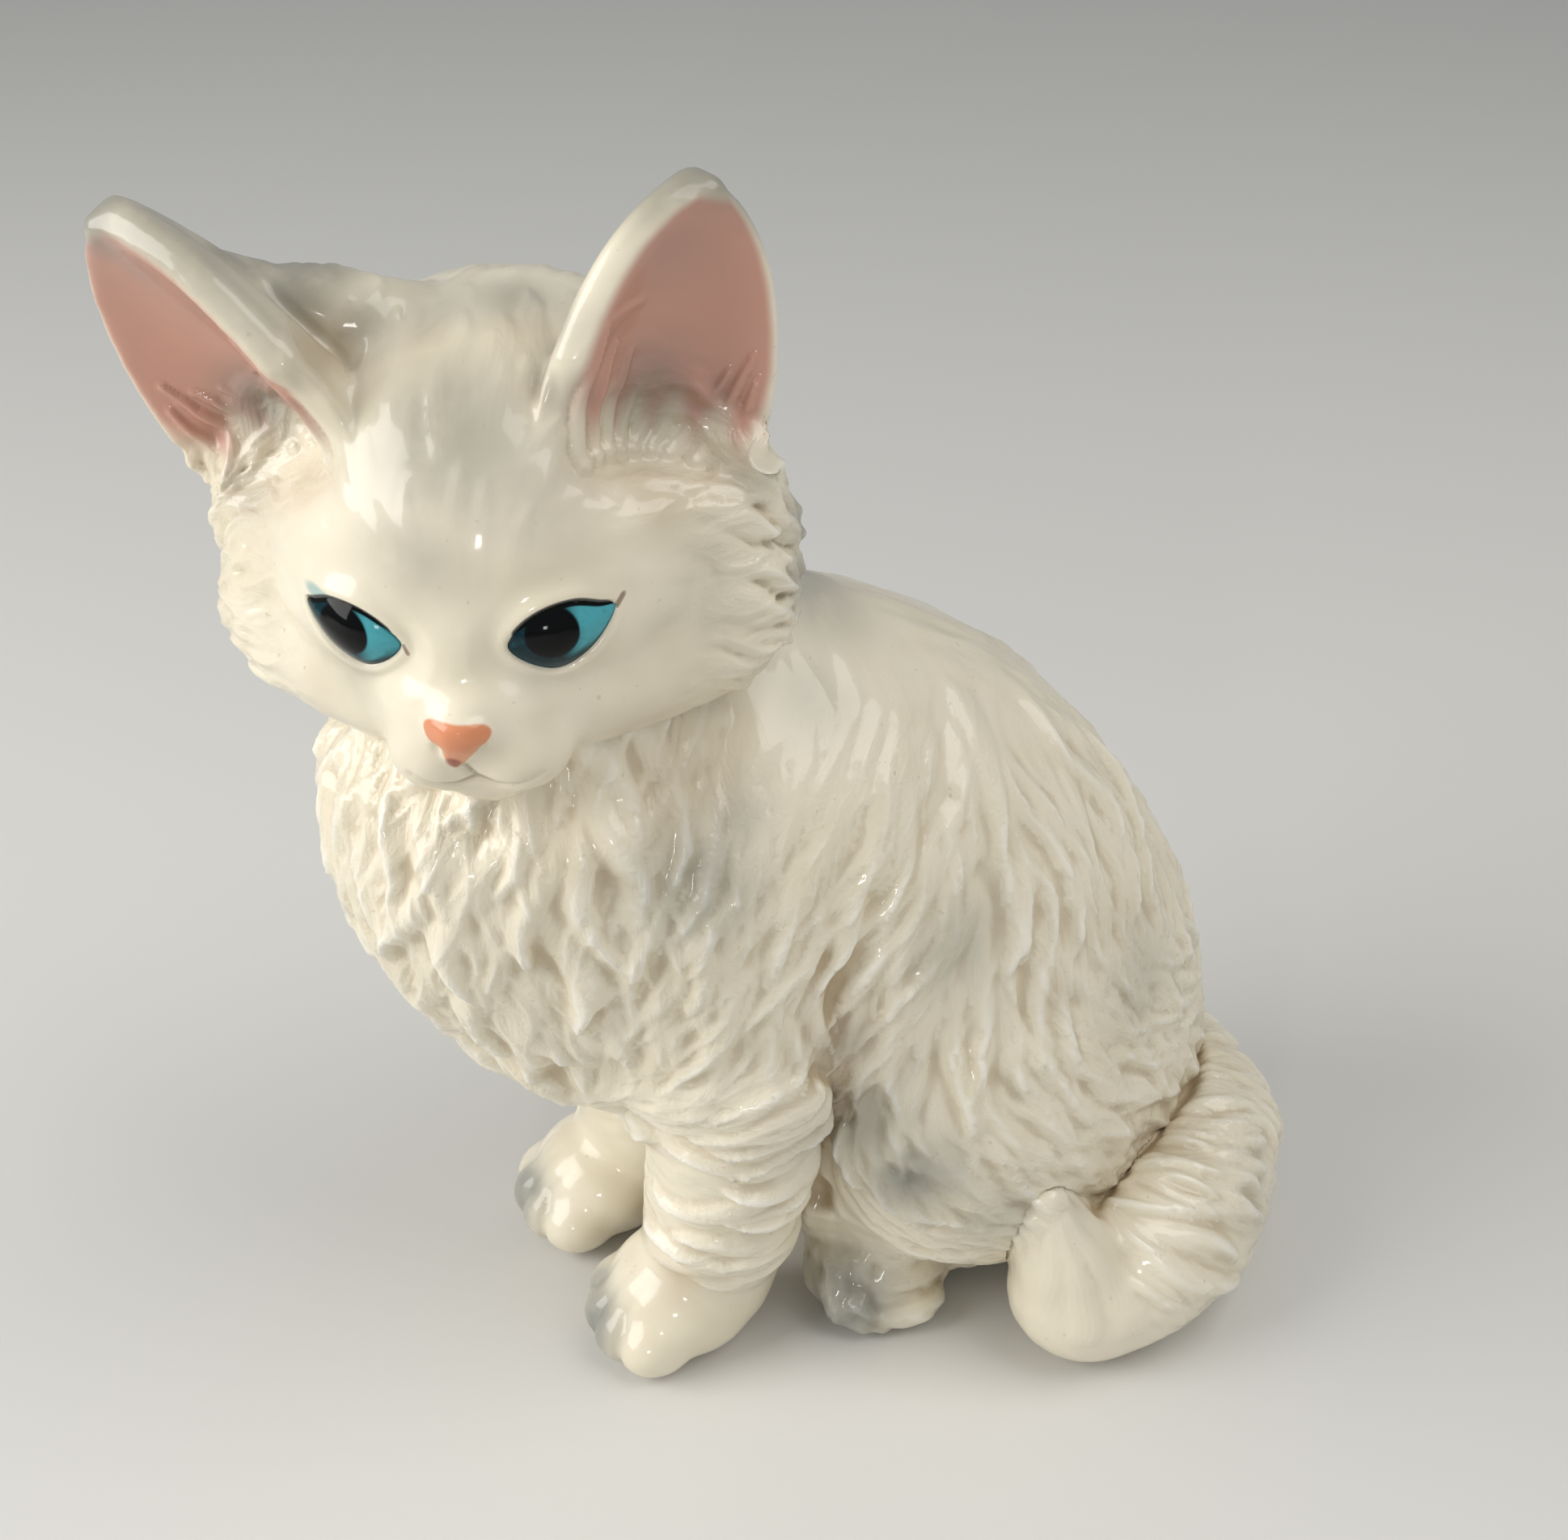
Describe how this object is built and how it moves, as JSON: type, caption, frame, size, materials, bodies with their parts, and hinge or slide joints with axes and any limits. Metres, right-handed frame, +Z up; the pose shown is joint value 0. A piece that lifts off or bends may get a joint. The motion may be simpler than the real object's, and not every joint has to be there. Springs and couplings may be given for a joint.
{
  "type": "cat figurine",
  "caption": "Hollow glazed ceramic figurine of a seated long-haired kitten, head turned to its left, tail curled round its side.",
  "frame": {"origin": "under the middle of the bounding box, on the plane the figurine stands on", "axes": "+Z up; the chest faces -Y and the kitten's left side is +X; the head is turned towards +X"},
  "size_m": [0.0658, 0.1192, 0.1393],
  "materials": {
    "white_glaze": "gloss",
    "ear_glaze": "gloss"
  },
  "bodies": {
    "root": {"body_shell": "white_glaze", "head_shell": "white_glaze", "left_ear": "ear_glaze", "right_ear": "ear_glaze", "left_foreleg": "white_glaze", "right_foreleg": "white_glaze", "left_hind_paw": "white_glaze", "right_hind_paw": "white_glaze", "tail": "white_glaze"}
  },
  "joints": []
}
